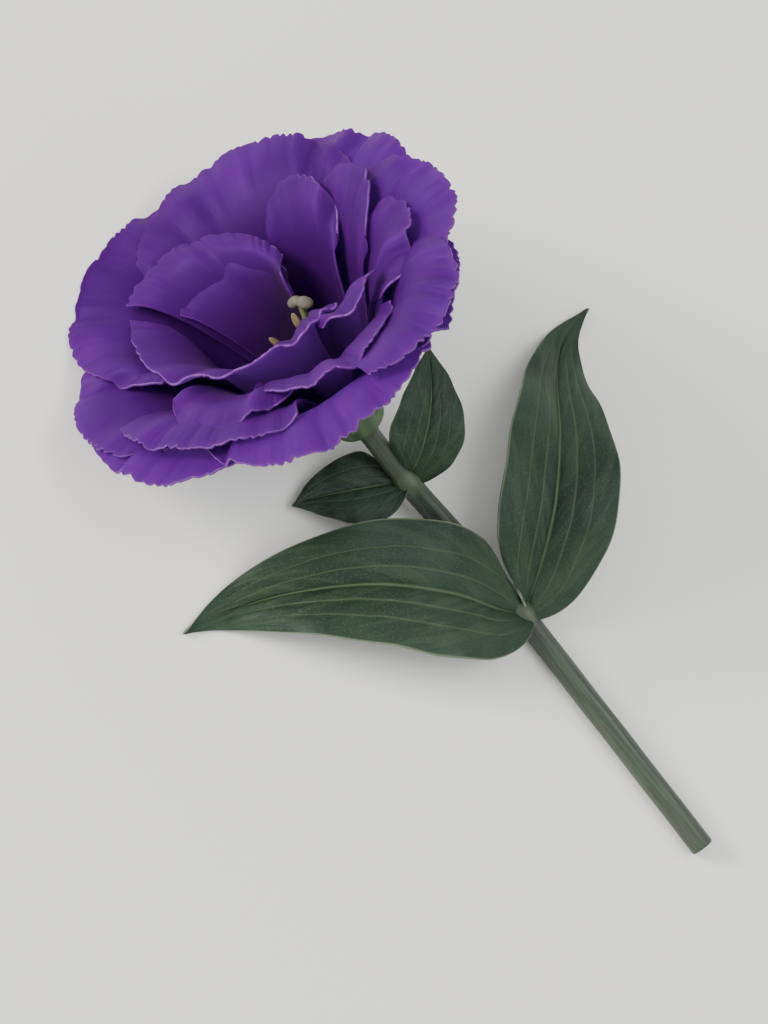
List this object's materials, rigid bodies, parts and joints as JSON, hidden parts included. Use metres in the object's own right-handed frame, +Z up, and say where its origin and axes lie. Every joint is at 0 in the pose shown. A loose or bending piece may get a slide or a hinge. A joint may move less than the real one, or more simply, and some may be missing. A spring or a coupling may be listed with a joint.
{
  "type": "cut lisianthus flower",
  "caption": "Cut double lisianthus bloom with ruffled violet petals on its leafy stem, lying on a surface.",
  "frame": {"origin": "centre of the footprint of the lying flower, on the surface it lies on", "axes": "+Z up from the surface; +X along the lying stem towards its cut end, so the bloom faces -X and upwards; +Y across, towards the right leaf"},
  "size_m": [0.1363, 0.091, 0.0614],
  "materials": {
    "petal": "soft satin petal",
    "stamen": "matte, powdery",
    "pistil": "satin",
    "calyx": "satin",
    "stem": "satin, waxy bloom",
    "leaf": "satin, waxy bloom"
  },
  "bodies": {
    "root": {"petals": "petal", "stamens": "stamen", "pistil": "pistil", "calyx": "calyx", "stem": "stem", "leaf_left": "leaf", "leaf_right": "leaf", "bract_upper": "leaf", "bract_lower": "leaf"}
  },
  "joints": []
}
